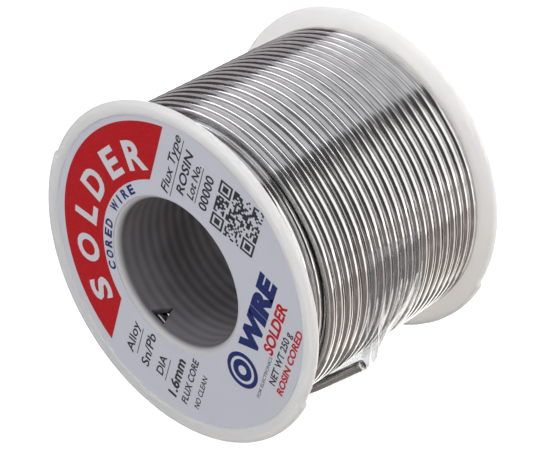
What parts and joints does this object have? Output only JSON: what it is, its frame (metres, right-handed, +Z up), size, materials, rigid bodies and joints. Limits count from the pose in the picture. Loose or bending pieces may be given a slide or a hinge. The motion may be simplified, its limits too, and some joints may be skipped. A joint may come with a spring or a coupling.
{
  "type": "solder wire spool",
  "caption": "Flanged plastic spool with a through bore, wound with flux-cored solder wire whose cut end is held by clear tape; ring label on the front flange.",
  "frame": {"origin": "centre of the bore, midway between the spool's two outer faces", "axes": "+Y along the bore from the labelled front flange to the rear flange; +Z up with the spool's axis lying level; +X to the right of the labelled face"},
  "size_m": [0.0526, 0.041, 0.0526],
  "materials": {
    "spool_plastic": "milky white moulded plastic, semi-gloss",
    "label_paper": "coated white paper with a red, blue and black print",
    "solder": "bright drawn tin-lead solder",
    "flux": "amber rosin",
    "tape": "clear adhesive film"
  },
  "bodies": {
    "root": {"front_flange": "spool_plastic", "rear_flange": "spool_plastic", "barrel": "spool_plastic", "front_label": "label_paper", "solder_winding": "solder", "free_end": "solder", "flux_core": "flux", "clear_tape": "tape"}
  },
  "joints": []
}
